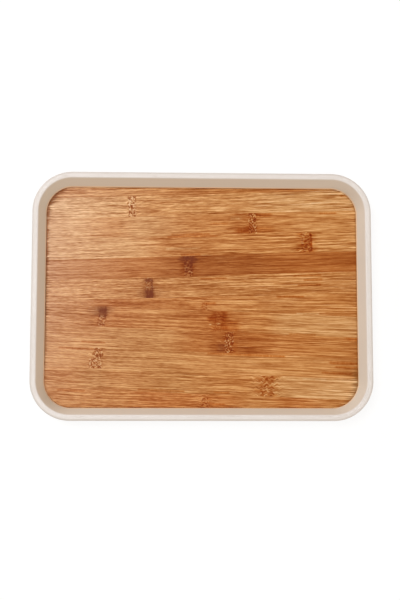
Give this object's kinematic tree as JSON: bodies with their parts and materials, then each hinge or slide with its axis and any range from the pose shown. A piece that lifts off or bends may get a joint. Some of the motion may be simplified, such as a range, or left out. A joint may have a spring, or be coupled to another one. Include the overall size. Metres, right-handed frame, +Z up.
{
  "type": "serving tray",
  "caption": "Rectangular serving tray with round corners, a moulded pan with a flared wall and flat lip, and a bamboo board laid in its floor.",
  "frame": {"origin": "middle of the footprint, on the surface that the feet stand on", "axes": "+X along the length, +Y to the rear edge (top of the picture), +Z up"},
  "size_m": [0.35, 0.256, 0.026],
  "materials": {
    "shell": "satin",
    "bamboo": "satin",
    "bamboo_dark": "satin",
    "tape": "matte",
    "foot": "matte"
  },
  "bodies": {
    "root": {"tray_shell": "shell", "stave_01": "bamboo", "stave_02": "bamboo", "stave_03": "bamboo", "stave_04": "bamboo", "stave_05": "bamboo_dark", "stave_06": "bamboo", "stave_07": "bamboo", "stave_08": "bamboo", "stave_09": "bamboo_dark", "stave_10": "bamboo", "stave_11": "bamboo", "stave_12": "bamboo", "bonding_tape_1": "tape", "bonding_tape_2": "tape", "bonding_tape_3": "tape", "bonding_tape_4": "tape", "foot_front_left": "foot", "foot_front_right": "foot", "foot_rear_left": "foot", "foot_rear_right": "foot"}
  },
  "joints": []
}
